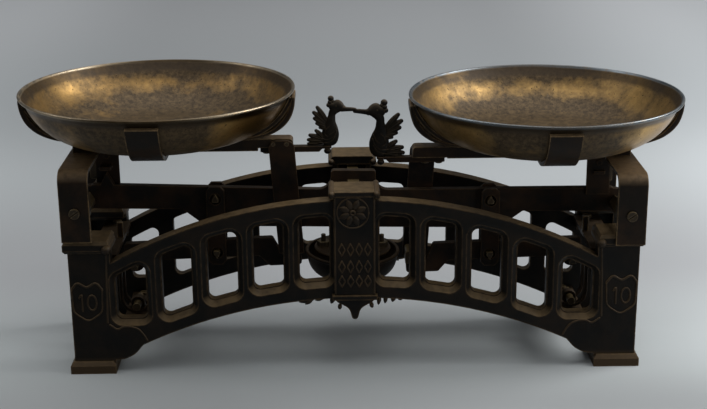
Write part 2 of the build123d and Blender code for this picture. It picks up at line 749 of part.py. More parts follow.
for side in sides:
    lift = -side * beam_drop
    shift = side * end_shift
    front = side_view(side, x=shift, z=lift)
    pan_side = side_view(side, x=shift + side * pan_x, z=lift)
    across = end_view(side, x=shift + side * pan_x, z=lift)
    strap_plane = end_view(side, x=shift + side * strap_x, z=lift)
    name = names[side]
    bar_face = bar_top[side]
    bar_inner = stud_x[side] - bar_end
    bar_plane = plan_view(side, x=shift, z=lift + bar_face)

    with BuildPart() as cross:
        extrude(arm_profile(pan_side, 0), amount=arm_width / 2, both=True)
        extrude(arm_profile(across, 0), amount=arm_width / 2, both=True)
        with BuildSketch(front):
            with BuildLine():
                corner = (rib_inner, arm_root)
                FilletPolyline((rib_inner, bar_face), corner, (rib_inner + 18, arm_root), radius=4)
                Polyline(
                    (rib_inner + 18, arm_root),
                    (pan_x, arm_root),
                    (rib_outer - 8, arm_root - 2),
                    (rib_outer, arm_root - 4),
                    (rib_outer, rib_bottom),
                    (bar_outer + 2, rib_bottom),
                    (bar_outer + 2, bar_face),
                    (rib_inner, bar_face),
                )
            make_face()
        extrude(amount=rib_half, both=True)
        rivet_holes(front.offset(-rib_half), post_rivets, 10)
        underside = plan_view(side, x=shift, z=lift + rib_bottom)
        rivet_holes(bar_plane, [(x, 0) for x in bar_rivets], 3.5)
        rivet_holes(underside, [(x, 0) for x in strap_rivets], 6)
    save(cross, f"{name}_cross")

    with BuildPart() as strap:
        with BuildSketch(strap_plane):
            outside = strap_inner + strap_thick
            with BuildLine():
                FilletPolyline(
                    (-outside, strap_bottom),
                    (-outside, rib_bottom),
                    (outside, rib_bottom),
                    (outside, strap_bottom),
                    radius=strap_bend,
                )
                Line((outside, strap_bottom), (strap_inner, strap_bottom))
                FilletPolyline(
                    (strap_inner, strap_bottom),
                    (strap_inner, rib_bottom - strap_thick),
                    (-strap_inner, rib_bottom - strap_thick),
                    (-strap_inner, strap_bottom),
                    radius=strap_bend - strap_thick,
                )
                Line((-strap_inner, strap_bottom), (-outside, strap_bottom))
            make_face()
        extrude(amount=strap_width / 2, both=True)
        with BuildSketch(front):
            with Locations((strap_x, beam_height)):
                Circle(3 + pin_gap)
        extrude(amount=2 * strap_inner, both=True, mode=Mode.SUBTRACT)
        rivet_holes(underside, [(x, 0) for x in strap_rivets], 6)
    save(strap, f"{name}_end_strap")

    # Bearings inside the strap: grooved blocks on the end knife, closed at the back, on slotted screws.
    with BuildPart() as strap_bearings:
        for face in (-1, 1):
            with BuildSketch(front.offset(face * (strap_inner - block_back / 2))):
                with Locations((end_knife_x, beam_height - 8)):
                    Rectangle(2 * block_half, 24, align=(Align.CENTER, Align.MIN))
                with Locations((strap_x, beam_height)):
                    Circle(3 + pin_gap, mode=Mode.SUBTRACT)
            extrude(amount=block_back / 2, both=True)
            groove_length = block_depth - block_back
            with BuildSketch(front.offset(face * (strap_inner - block_back - groove_length / 2))):
                with Locations((end_knife_x, beam_height - groove)):
                    Rectangle(2 * block_half, 16 + groove, align=(Align.CENTER, Align.MIN))
                with BuildLine():
                    Polyline(
                        (end_knife_x, beam_height),
                        (end_knife_x - 9, beam_height - 5.2),
                        (end_knife_x + 9, beam_height - 5.2),
                        close=True,
                    )
                make_face(mode=Mode.SUBTRACT)
            extrude(amount=groove_length / 2, both=True)
    save(strap_bearings, f"{name}_strap_bearings")

    with BuildPart() as strap_screws:
        for face in (-1, 1):
            head = Plane(
                origin=(shift + side * strap_x, face * (strap_inner + strap_thick), lift + beam_height),
                x_dir=(1, 0, 0),
                z_dir=(0, face, 0),
            )
            with BuildSketch(head):
                Circle(5)
                Rectangle(12, 1.3, rotation=35, mode=Mode.SUBTRACT)
            extrude(amount=2.4)
            with BuildSketch(head):
                Circle(5)
            extrude(amount=1.2)
            with BuildSketch(head):
                Circle(3)
            extrude(amount=-(strap_thick + block_back))
    save(strap_screws, f"{name}_strap_screws")

    # Inner post: a leaning strip on one face of the rib, with a flat steel foot on the lever's inner knife.
    with BuildPart() as post:
        foot_x, head_x = inner_knife_x + 1.5, 69.5
        with BuildSketch(front.offset(-rib_half - post_thick)):
            with BuildLine():
                Polyline(
                    (foot_x - post_width / 2, 96),
                    (head_x - post_width / 2, 211),
                    (head_x + post_width / 2, 211),
                    (foot_x + post_width / 2, 96),
                    close=True,
                )
            make_face()
            fillet(vertices().group_by(Axis.Y)[-1], 8)
        extrude(amount=post_thick)
        rivet_holes(front.offset(-rib_half), post_rivets + (foot_rivet,), 6)
    save(post, f"{name}_inner_post")

    with BuildPart() as foot:
        with BuildSketch(front.offset(-rib_half)):
            with Locations((inner_knife_x, lever_height + free_gap)):
                Rectangle(18, 13, align=(Align.CENTER, Align.MIN))
            fillet(vertices().group_by(Axis.Y)[-1], 3)
        extrude(amount=rib_half + 14)
        rivet_holes(front.offset(-rib_half), [foot_rivet], 10)
    save(foot, f"{name}_post_foot")

    # Outer post: a plate hung beside the beam from the rib, with a flat key over the lug of the beam.
    with BuildPart() as outer_post:
        post_plane = front.offset(post_near)
        with BuildSketch(post_plane):
            with Locations((240.5, post_low)):
                Rectangle(23, rib_bottom - post_low, align=(Align.CENTER, Align.MIN))
            with Locations((strap_x - strap_width / 2 - 0.3, rib_bottom - strap_thick - 0.3)):
                Rectangle(10, 10, align=Align.MIN, mode=Mode.SUBTRACT)
            with Locations((key_x, key_height)):
                Rectangle(key_length + 2 * pin_gap, key_width + 2 * pin_gap, mode=Mode.SUBTRACT)
        extrude(amount=post_far - post_near)
        with BuildSketch(front.offset(post_near - 0.5)):
            with Locations((key_x, eye_height)):
                Circle(eye_radius)
        extrude(amount=post_far - post_near + 1.5)
    save(outer_post, f"{name}_outer_post")

    with BuildPart() as post_key:
        with BuildSketch(front.offset(key_back)):
            with Locations((key_x, key_height)):
                Rectangle(key_length, key_width)
        extrude(amount=key_front - key_back)
    save(post_key, f"{name}_post_pin")

    # Pointer bar under the end of the rib, with the duck that shows the balance.
    with BuildPart() as pointer_bar:
        with BuildSketch(front):
            with BuildLine():
                low, step = bar_face - bar_thick, bar_face - tip_thick
                tip_end = stud_x[side] + bar_end + 1
                Polyline(
                    (bar_inner, bar_face),
                    (bar_outer, bar_face),
                    (bar_outer, low),
                    (tip_end + 3, low),
                    (tip_end, step),
                    (bar_inner, step),
                    close=True,
                )
            make_face()
        extrude(amount=4, both=True)
        fillet(edges().filter_by(Axis.Z), 3)
        rivet_holes(bar_plane, [(x, 0) for x in bar_rivets], 8)
        with BuildSketch(bar_plane):
            with Locations((stud_x[side], 0)):
                Circle(stud_radius + pin_gap)
        extrude(amount=-bar_thick, mode=Mode.SUBTRACT)
    save(pointer_bar, f"{name}_pointer_bar")

    # Rivets of the strap, the post and the bar.
    with BuildPart() as rivet_set:
        under_strap = lift + rib_bottom - strap_thick
        under_bar = lift + bar_face - bar_thick
        for spots, height, length in (
            (strap_rivets, under_strap, strap_thick + 6),
            (bar_rivets, under_bar, bar_thick + 3.5),
        ):
            under = Plane(origin=(shift, 0, height), x_dir=(side, 0, 0), z_dir=(0, 0, -1))
            rivets(under, [(x, 0) for x in spots], length)
        post_face = front.offset(-rib_half - post_thick)
        on_post = Plane(origin=post_face.origin, x_dir=front.x_dir, z_dir=-front.z_dir)
        rivets(on_post, [(x, -z) for x, z in post_rivets + (foot_rivet,)], post_thick + 8, headed=False)
    save(rivet_set, f"{name}_rivets")

    # Duck: a flat casting, sized and leant about its stud.
    with BuildPart() as duck:
        duck_plane = side_view(side, shift + side * stud_x[side], lift + bar_face, duck_lean[side])
        with BuildSketch(duck_plane):
            add(duck_outline.sketch.scale(duck_size[side]))
        extrude(amount=3.5, both=True)
        # The beak lies on one half of the thickness, so that the two beaks pass each other.
        with BuildSketch(duck_plane.offset(-3.2)):
            add(duck_beak.sketch.scale(duck_size[side]))
        extrude(amount=2.8)
        with BuildSketch(front):
            with Locations((stud_x[side], bar_face)):
                Rectangle(100, 20, align=(Align.CENTER, Align.MAX))
        extrude(amount=10, both=True, mode=Mode.SUBTRACT)
    save(duck, f"{name}_duck")

    with BuildPart() as duck_nut:
        tip_face = lift + bar_face - tip_thick
        with Locations((shift + side * stud_x[side], 0, tip_face)):
            Cylinder(stud_radius, tip_thick, align=(Align.CENTER, Align.CENTER, Align.MIN))
            Cylinder(3.4, 6, align=(Align.CENTER, Align.CENTER, Align.MAX))
        chamfer(edges().filter_by(GeomType.CIRCLE).filter_by(lambda edge: edge.radius > 3), 1.6)
    save(duck_nut, f"{name}_duck_nut")
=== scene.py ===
import json
from math import cos, pi, radians, sin

import bmesh
import bpy
import numpy as np
from mathutils import Matrix, Vector

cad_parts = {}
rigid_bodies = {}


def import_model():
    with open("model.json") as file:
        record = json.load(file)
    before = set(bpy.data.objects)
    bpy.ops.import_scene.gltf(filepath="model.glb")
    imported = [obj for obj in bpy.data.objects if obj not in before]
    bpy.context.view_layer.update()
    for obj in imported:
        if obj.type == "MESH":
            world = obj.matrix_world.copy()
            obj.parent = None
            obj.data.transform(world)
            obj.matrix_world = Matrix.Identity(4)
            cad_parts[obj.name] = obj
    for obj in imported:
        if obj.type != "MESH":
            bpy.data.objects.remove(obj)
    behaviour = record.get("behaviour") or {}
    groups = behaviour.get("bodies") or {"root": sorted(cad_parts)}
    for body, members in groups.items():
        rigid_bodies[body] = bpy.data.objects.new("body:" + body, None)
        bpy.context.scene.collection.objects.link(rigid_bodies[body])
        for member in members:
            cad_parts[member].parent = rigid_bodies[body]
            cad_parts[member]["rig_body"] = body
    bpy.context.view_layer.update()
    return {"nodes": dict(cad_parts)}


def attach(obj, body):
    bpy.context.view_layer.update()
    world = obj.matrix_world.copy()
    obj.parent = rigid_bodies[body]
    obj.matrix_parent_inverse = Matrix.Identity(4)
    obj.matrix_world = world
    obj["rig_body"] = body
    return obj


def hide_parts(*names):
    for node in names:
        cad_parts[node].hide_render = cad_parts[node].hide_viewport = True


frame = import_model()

# Studio: seamless grey paper, flat round the balance and swept up all round, far from it. Five softboxes that
# the camera doesn't see light it, most of it from above and from the right. The camera looks a little down.
FLOOR_RADIUS = 4.6
SWEEP_RADIUS = 1.6
SWEEP_HEIGHT = 3.4
FLOOR_RINGS = 24
FLOOR_TURNS = 96
MERGE_DISTANCE = 2e-6


def linear(colour):
    """Linear red, green, blue and alpha of an sRGB hex colour."""
    parts = np.array([int(colour[i:i + 2], 16) / 255 for i in (1, 3, 5)])
    light = np.where(parts > 0.04045, ((parts + 0.055) / 1.055) ** 2.4, parts / 12.92)
    return (*light.tolist(), 1.0)


def add(tree, kind, sockets=None, **settings):
    """New shader node. sockets maps its input names to values or to outputs that are linked to them."""
    made = tree.nodes.new(kind)
    for name, value in settings.items():
        setattr(made, name, value)
    for name, value in (sockets or {}).items():
        if isinstance(value, bpy.types.NodeSocket):
            tree.links.new(value, made.inputs[name])
        else:
            made.inputs[name].default_value = value
    return made


def shell(name, grids):
    """Mesh object of one or more grids of points, each an array of rows of points.

    Neighbours in a row and in a column are joined by quads, and each row closes on itself. Points that fall
    together, as at a pole, are merged, and the faces are turned outward.
    """
    points, quads, start = [], [], 0
    for grid in grids:
        rows, columns = grid.shape[:2]
        index = start + np.arange(rows * columns).reshape(rows, columns)
        index = np.hstack([index, index[:, :1]])
        corners = (index[:-1, :-1], index[:-1, 1:], index[1:, 1:], index[1:, :-1])
        quads.append(np.stack(corners, -1).reshape(-1, 4))
        points.append(grid.reshape(-1, 3))
        start += rows * columns
    mesh = bpy.data.meshes.new(name)
    mesh.from_pydata(np.vstack(points).tolist(), [], np.vstack(quads).tolist())
    work = bmesh.new()
    work.from_mesh(mesh)
    bmesh.ops.remove_doubles(work, verts=work.verts, dist=MERGE_DISTANCE)
    bmesh.ops.recalc_face_normals(work, faces=work.faces)
    work.to_mesh(mesh)
    work.free()
    mesh.shade_smooth()
    made = bpy.data.objects.new(name, mesh)
    bpy.context.scene.collection.objects.link(made)
    return made


def lathe(radii, heights, turns, centre=(0.0, 0.0)):
    """Grid of a profile turned about an upright axis: radius times cosine and sine, at each height."""
    angle = np.linspace(0, 2 * pi, turns, endpoint=False)
    x = centre[0] + radii[:, None] * np.cos(angle)
    y = centre[1] + radii[:, None] * np.sin(angle)
    return np.stack([x, y, np.broadcast_to(heights[:, None], x.shape)], -1)


bend = np.linspace(0, pi / 2, 12)
sweep_radii = np.concatenate([
    np.linspace(0, FLOOR_RADIUS, FLOOR_RINGS),
    FLOOR_RADIUS + SWEEP_RADIUS * np.sin(bend)[1:],
    [FLOOR_RADIUS + SWEEP_RADIUS],
])
sweep_heights = np.concatenate([
    np.zeros(FLOOR_RINGS),
    SWEEP_RADIUS * (1 - np.cos(bend))[1:],
    [SWEEP_HEIGHT],
])
floor = shell("floor", [lathe(sweep_radii, sweep_heights, FLOOR_TURNS)])

# Matt paper: a soft grey with a trace of blue, with painted light and shade in its colour. A few greys follow
# its depth and a few its width, each at a place in metres, and the two are multiplied. This paints the lamps'
# pool
# of light: palest at the far right and far behind, darker in front, with a painted pale strip under the arch
# that lifts the balance's cast shadow.
DEPTH_PAINTED_LIGHT = (
    (-0.5, "#848788"), (-0.17, "#8e9192"), (-0.03, "#adb2b3"), (0.23, "#929496"), (0.62, "#9fa3a5"),
    (0.94, "#969a9c"), (2.5, "#c7c9cb"),
)
WIDTH_PAINTED_LIGHT = (
    (-2.4, "#bababa"), (-0.8, "#cbcbcb"), (-0.37, "#afafaf"), (0.3, "#b8b8b8"), (0.8, "#e8e8e8"),
    (2.4, "#c0c0c0"),
)
paper = bpy.data.materials.new("seamless_paper")
paper.use_nodes = True
tree = paper.node_tree
place = add(tree, "ShaderNodeTexCoord").outputs["Object"]
axes = add(tree, "ShaderNodeSeparateXYZ", {"Vector": place}).outputs
painted_light_ramps = []
for axis, spots in (("Y", DEPTH_PAINTED_LIGHT), ("X", WIDTH_PAINTED_LIGHT)):
    first, last = spots[0][0], spots[-1][0]
    way = add(
        tree, "ShaderNodeMapRange", {"Value": axes[axis], "From Min": first, "From Max": last}
    ).outputs[0]
    ramp = add(tree, "ShaderNodeValToRGB", {"Fac": way})
    ramp.color_ramp.interpolation = "EASE"
    stops = ramp.color_ramp.elements
    stops[0].color = linear(spots[0][1])
    stops[1].color = linear(spots[-1][1])
    for spot, colour in spots[1:-1]:
        stops.new((spot - first) / (last - first)).color = linear(colour)
    painted_light_ramps.append(ramp.outputs[0])
# The product of the two ramps is painted light and shade on the paper.
painted_light = add(
    tree, "ShaderNodeMixRGB", {"Fac": 1.0, "Color1": painted_light_ramps[0], "Color2": painted_light_ramps[1]}, blend_type="MULTIPLY"
).outputs[0]
painted_light = add(tree, "ShaderNodeVectorMath", {0: painted_light, "Scale": 2.0}, operation="SCALE").outputs[0]
shader = tree.nodes["Principled BSDF"]
tree.links.new(painted_light, shader.inputs["Base Color"])
shader.inputs["Roughness"].default_value = 0.9
shader.inputs["Specular IOR Level"].default_value = 0.2
floor.data.materials.append(paper)


def softbox(name, place, target, width, height, watts):
    """Flat soft lamp of this size at a place, aimed at a target point. The camera doesn't see it."""
    lamp = bpy.data.lights.new(name, "AREA")
    lamp.shape, lamp.size, lamp.size_y, lamp.energy = "RECTANGLE", width, height, watts
    made = bpy.data.objects.new(name, lamp)
    made.location = place
    made.rotation_euler = (Vector(target) - Vector(place)).to_track_quat("-Z", "Y").to_euler()
    made.visible_camera = False
    bpy.context.scene.collection.objects.link(made)


# Two main lamps, above and at the right. The other three are weak: they lift the shadows from the left, from
# the front, and low down at the right.
softbox("overhead_softbox", (0.05, 0.1, 2.3), (0.0, 0.05, 0.1), 2.6, 2.0, 42)
softbox("right_softbox", (1.35, 0.1, 1.2), (0.1, 0.0, 0.2), 0.9, 0.9, 26)
softbox("left_softbox", (-1.4, -0.1, 1.2), (-0.1, 0.0, 0.2), 0.8, 0.8, 6)
softbox("front_fill", (-0.3, -1.9, 1.7), (0.0, 0.0, 0.12), 1.8, 1.2, 5)
softbox("low_softbox", (1.3, -1.1, 0.45), (0.0, 0.0, 0.2), 0.6, 0.6, 5)

AIR_COLOUR = "#c8ccd0"
AIR_STRENGTH = 0.28
world = bpy.data.worlds.new("studio_air")
bpy.context.scene.world = world
world.use_nodes = True
air = world.node_tree.nodes["Background"]
air.inputs["Color"].default_value = linear(AIR_COLOUR)
air.inputs["Strength"].default_value = AIR_STRENGTH

# The photograph's camera, fitted to the arch, the legs and the pans. Its place is in metres. The lens and the
# sensor's width are in millimetres.
CAMERA_PLACE = (-0.01896, -1.3159, 0.56784)
PITCH, YAW, ROLL = radians(17.74), radians(0.84), radians(-0.51)
LENS = 71.17
SENSOR_WIDTH = 36
ahead = np.array([sin(YAW) * cos(PITCH), cos(YAW) * cos(PITCH), -sin(PITCH)])
level = np.array([cos(YAW), -sin(YAW), 0.0])
above = np.array([sin(YAW) * sin(PITCH), cos(YAW) * sin(PITCH), cos(PITCH)])
across = level * cos(ROLL) + above * sin(ROLL)
upward = above * cos(ROLL) - level * sin(ROLL)
camera = bpy.data.objects.new("camera", bpy.data.cameras.new("camera"))
camera.data.lens = LENS
camera.data.sensor_width = SENSOR_WIDTH
turned = Matrix(np.stack([across, upward, -ahead], 1).tolist())
camera.matrix_world = Matrix.Translation(CAMERA_PLACE) @ turned.to_4x4()
bpy.context.scene.collection.objects.link(camera)
bpy.context.scene.camera = camera
bpy.context.scene.view_settings.view_transform = "Standard"

# Side frames: two arched grey-iron castings, each with its legs and its middle pillar in one piece, and a cap
# on each pillar. They were painted black once. Handling has rubbed the arrises down to brown metal.
CASTING_ARRIS = 0.0008
CAST_GRAIN = 0.0011
STAIN_SPREAD = 0.03
PROBE = 0.005
FOOT_RUST = "#3b2e1e"
FOOT_RUST_STARTS, FOOT_RUST_FULL = 0.016, 0.009


def old_iron(name, coat, rust, bare, dust_and_top_light, grain, roughness, wear_width):
    """Blackened iron after decades of use, in four sRGB colours.

    The coat is a dark, half-matt skin over fine sand-cast or forged grain, with brown rust in slow clouds.
    Along the outer arrises, over wear_width, it is rubbed to the bare brown metal. Corners that hands can't
    reach keep their dark coat, and hollows are darkened further with painted shade. Faces that look up hold a
    film of brown dust that also paints in the light from above, and the feet are rusty. Real sand grain is
    0.2 to 0.4 mm. It is drawn coarser here, so that it shows.
    """
    material = bpy.data.materials.new(name)
    material.use_nodes = True
    tree = material.node_tree
    shader = tree.nodes["Principled BSDF"]
    shader.inputs["Specular IOR Level"].default_value = 0.14
    place = add(tree, "ShaderNodeTexCoord").outputs["Object"]
    clouds = add(
        tree, "ShaderNodeTexNoise",
        {"Vector": place, "Scale": 1 / STAIN_SPREAD, "Detail": 6, "Roughness": 0.65},
    ).outputs[0]
    pits = add(tree, "ShaderNodeTexNoise", {"Vector": place, "Scale": 1 / grain, "Detail": 3}).outputs[0]
    lumps = add(
        tree, "ShaderNodeTexNoise", {"Vector": place, "Scale": 1 / (6 * grain), "Detail": 2}
    ).outputs[0]
    stained = add(
        tree, "ShaderNodeMapRange", {"Value": clouds, "From Min": 0.42, "From Max": 0.72}
    ).outputs[0]
    skin = add(
        tree, "ShaderNodeMixRGB", {"Fac": stained, "Color1": linear(coat), "Color2": linear(rust)}
    ).outputs[0]
    # Dust on faces that look up, which also paints in the light from above, and rust on the feet.
    normal = add(tree, "ShaderNodeNewGeometry").outputs["Normal"]
    height = add(tree, "ShaderNodeSeparateXYZ", {"Vector": normal}).outputs["Z"]
    upward_face = add(
        tree, "ShaderNodeMapRange", {"Value": height, "From Min": 0.12, "From Max": 0.75}
    ).outputs[0]
    patchy = add(
        tree, "ShaderNodeMapRange", {"Value": lumps, "From Min": 0.3, "From Max": 0.6, "To Min": 0.6}
    ).outputs[0]
    dust_and_top_light_film = add(tree, "ShaderNodeMath", {0: upward_face, 1: patchy}, operation="MULTIPLY").outputs[0]
    low = add(tree, "ShaderNodeSeparateXYZ", {"Vector": place}).outputs["Z"]
    damp = add(
        tree, "ShaderNodeMapRange",
        {"Value": low, "From Min": FOOT_RUST_STARTS, "From Max": FOOT_RUST_FULL, "To Max": 0.8},
    ).outputs[0]
    dusty_and_top_lit = add(
        tree, "ShaderNodeMixRGB", {"Fac": dust_and_top_light_film, "Color1": skin, "Color2": linear(dust_and_top_light)}
    ).outputs[0]
    dusty_and_top_lit = add(
        tree, "ShaderNodeMixRGB", {"Fac": damp, "Color1": dusty_and_top_lit, "Color2": linear(FOOT_RUST)}
    ).outputs[0]
    # Wear: where the face turns within wear_width, and only on arrises that stand free.
    rounded_normal = add(tree, "ShaderNodeBevel", {"Radius": wear_width}, samples=4).outputs[0]
    alike = add(
        tree, "ShaderNodeVectorMath", {0: rounded_normal, 1: normal}, operation="DOT_PRODUCT"
    ).outputs["Value"]
    edge = add(
        tree, "ShaderNodeMapRange", {"Value": alike, "From Min": 0.995, "From Max": 0.88}
    ).outputs[0]
    open_air = add(
        tree, "ShaderNodeAmbientOcclusion", {"Distance": PROBE}, samples=4, only_local=True
    ).outputs["AO"]
    outer = add(
        tree, "ShaderNodeMapRange", {"Value": open_air, "From Min": 0.7, "From Max": 0.9}
    ).outputs[0]
    uneven = add(
        tree, "ShaderNodeMapRange", {"Value": lumps, "From Min": 0.38, "From Max": 0.62, "To Min": 0.3}
    ).outputs[0]
    wear = add(tree, "ShaderNodeMath", {0: edge, 1: outer}, operation="MULTIPLY").outputs[0]
    wear = add(tree, "ShaderNodeMath", {0: wear, 1: uneven}, operation="MULTIPLY", use_clamp=True).outputs[0]
    worn = add(
        tree, "ShaderNodeMixRGB", {"Fac": wear, "Color1": dusty_and_top_lit, "Color2": linear(bare)}
    ).outputs[0]
    # Hollows are darker: painted shade, deepest where nearby surfaces close in.
    painted_hollow_shade = add(
        tree, "ShaderNodeMapRange", {"Value": open_air, "From Min": 0.3, "From Max": 0.85, "To Min": 0.5}
    ).outputs[0]
    colour = add(
        tree, "ShaderNodeMixRGB", {"Fac": 1.0, "Color1": worn, "Color2": painted_hollow_shade}, blend_type="MULTIPLY"
    ).outputs[0]
    tree.links.new(colour, shader.inputs["Base Color"])
    bare_metal = add(tree, "ShaderNodeMath", {0: wear, 1: 0.25}, operation="MULTIPLY").outputs[0]
    tree.links.new(bare_metal, shader.inputs["Metallic"])
    gloss = add(
        tree, "ShaderNodeMapRange",
        {"Value": clouds, "From Min": 0.3, "From Max": 0.7, "To Min": roughness - 0.07,
         "To Max": roughness + 0.12},
    ).outputs[0]
    tree.links.new(gloss, shader.inputs["Roughness"])
    relief = add(tree, "ShaderNodeMath", {0: pits, 1: lumps}, operation="ADD").outputs[0]
    bump = add(
        tree, "ShaderNodeBump", {"Height": relief, "Strength": 0.35, "Distance": grain * 0.35}
    ).outputs[0]
    tree.links.new(bump, shader.inputs["Normal"])
    return material


# Painted cast iron: nearly black and half matt, with a brown line where the paint is rubbed off the arrises.
cast_iron = old_iron(
    "black_painted_cast_iron", coat="#0b0a08", rust="#1c150e", bare="#604d35", dust_and_top_light="#5a4a33",
    grain=CAST_GRAIN, roughness=0.5, wear_width=0.0022,
)
SHARP = radians(33)
NEARLY_FLAT = radians(0.6)


def finished(name, material, arris, steps=2):
    """The CAD piece of this name with its triangles merged into plain faces and its arrises rounded off.

    Faces whose directions differ by more than SHARP meet in an arris, and each arris is replaced by a round
    that takes off the given width. It rides with the piece's own body and stands for the piece.
    """
    source = frame["nodes"][name]
    work = bmesh.new()
    work.from_mesh(source.data)
    bmesh.ops.remove_doubles(work, verts=work.verts, dist=MERGE_DISTANCE)
    bmesh.ops.dissolve_limit(work, angle_limit=NEARLY_FLAT, verts=work.verts, edges=work.edges)
    mesh = bpy.data.meshes.new(name + "_finished")
    work.to_mesh(mesh)
    work.free()
    mesh.shade_smooth()
    mesh.set_sharp_from_angle(angle=SHARP)
    made = bpy.data.objects.new(name + "_finished", mesh)
    bpy.context.scene.collection.objects.link(made)
    made.data.materials.append(material)
    if arris:
        round_off = made.modifiers.new("arris", "BEVEL")
        round_off.width = arris
        round_off.segments = steps
        round_off.limit_method = "ANGLE"
        round_off.angle_limit = SHARP
        round_off.harden_normals = True
        round_off.use_clamp_overlap = True
    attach(made, source["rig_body"])
    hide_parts(name)
    return made


for name in ("front_side_frame", "rear_side_frame", "front_pillar_cap", "rear_pillar_cap"):
    finished(name, cast_iron, CASTING_ARRIS)

# Cast relief of the frames: a shield with a plain number on each leg, ridges, rolled ends, a flower and rows
# of lozenges on the pillar, and broken leaves beside its drop. All of it was in the pattern for the mould, so
# it is of one piece with the frame, and it is rubbed where it stands out.
# Places are in millimetres, x then z. Faces that it stands on, radii and heights of its lines are in metres.
FACE = -0.066
PILLAR_FACE = -0.071
DROP_FACE = -0.060
OUT = np.array([0.0, -1.0, 0.0])
LEG_X = 256
MARK_LINE = 0.0010
FLANGE_ROLL_X, FLANGE_ROLL_Z, FLANGE_ROLL_RADIUS = 0.2345, 0.1272, 0.0046
CAP_ROLL_X, CAP_ROLL_Z, CAP_ROLL_RADIUS = 0.0212, 0.1800, 0.0031
FLOWER = np.array([-1.5, 161.2])
FLOWER_RING, FLOWER_EYE = 15, 2.0
PETAL_FROM, PETAL_TO = 3.0, 13.5
LOZENGE_ROWS = ((124.5, 6.0), (107.2, 6.0), (92.6, 5.6))
LOZENGE_COLUMNS = (-12.3, -4.1, 4.1, 12.3)
LOZENGE_HALF_WIDTH = 3.1
BORDER_X, BORDER_LOW, BORDER_HIGH = 18.4, 80, 175
LEAVES = (
    ((-36, 74), (-54, 68), 3.4), ((-40, 74), (-48, 65.5), 3.0), ((-28, 76), (-38, 69.5), 3.0),
    ((24, 75), (22.5, 64), 2.2), ((30, 75), (29, 65.5), 2.2), ((38, 75), (36, 67), 2.6),
    ((46, 74), (42, 69), 2.6), ((-20, 75), (-23, 66), 2.6), ((-14, 66), (-15, 60), 2.2),
    ((15, 68), (17, 61), 2.2),
)


def curve(points, steps=10):
    """Smooth line through points: on each stretch, the cubic whose slope at a point is half the way between
    its two neighbours."""
    given = np.asarray(points, float)
    given = np.vstack([2 * given[0] - given[1], given, 2 * given[-1] - given[-2]])
    before, start, end, after = (given[i:len(given) - 3 + i, None] for i in range(4))
    t = np.linspace(0, 1, steps, endpoint=False)[None, :, None]
    line = start + 0.5 * (
        (end - before) * t
        + (2 * before - 5 * start + 4 * end - after) * t**2
        + (3 * start - before - 3 * end + after) * t**3
    )
    return np.vstack([line.reshape(-1, given.shape[1]), given[-2:-1]])


def sweep(path, radii, thick, normal=OUT, around=14, square=1.0):
    """Grid of a rod along a path, closed by domed ends.

    Each row is path + side * radius * cos(a) + normal * thick * sin(a). Radius and thickness may change along
    the path. Below 1, the power square is put on cosine and sine, and the section nears a rectangle.
    """
    path = np.asarray(path, float)
    radii = np.broadcast_to(radii, len(path)).astype(float)
    thick = np.broadcast_to(thick, len(path)).astype(float)
    along = np.gradient(path, axis=0)
    along /= np.linalg.norm(along, axis=1, keepdims=True)
    dome = np.radians((90.0, 67.0, 45.0, 22.0))
    head = path[0] - along[0] * (radii[0] * np.sin(dome))[:, None]
    tail = path[-1] + along[-1] * (radii[-1] * np.sin(dome[::-1]))[:, None]
    line = np.vstack([head, path, tail])
    wide = np.concatenate([radii[0] * np.cos(dome), radii, radii[-1] * np.cos(dome[::-1])])
    deep = np.concatenate([thick[0] * np.cos(dome), thick, thick[-1] * np.cos(dome[::-1])])
    along = np.vstack([np.tile(along[0], (4, 1)), along, np.tile(along[-1], (4, 1))])
    side = np.cross(along, normal)
    side /= np.linalg.norm(side, axis=1, keepdims=True)
    angle = (np.arange(around) + 0.5)[None, :, None] * 2 * pi / around
    c, s = (np.sign(wave) * np.abs(wave) ** square for wave in (np.cos(angle), np.sin(angle)))
    across_it = wide[:, None, None] * side[:, None] * c
    out_of_it = deep[:, None, None] * np.asarray(normal) * s
    return line[:, None] + across_it + out_of_it


def on_face(points, y):
    """Places in metres of points x, z in millimetres on the upright plane at y."""
    points = np.asarray(points, float) / 1000
    return np.stack([points[:, 0], np.full(len(points), y), points[:, 1]], -1)


def ring(x, z, wide, high, steps=28):
    """Closed ellipse of points about x, z. Its last point repeats the first."""
    turn = np.linspace(0, 2 * pi, steps + 1)
    return np.stack([x + wide * np.cos(turn), z + high * np.sin(turn)], -1)


def leaf(root, tip, width, thick, normal=OUT, steps=14):
    """Grid of a pointed leaf: its half width is width times the sine of the way along, to the power 0.7."""
    way = np.linspace(0.02, 0.98, steps)
    path = np.asarray(root) + (np.asarray(tip) - np.asarray(root)) * way[:, None]
    shape = np.sin(pi * way) ** 0.7
    return sweep(path, width * shape, thick * shape, normal, 10)


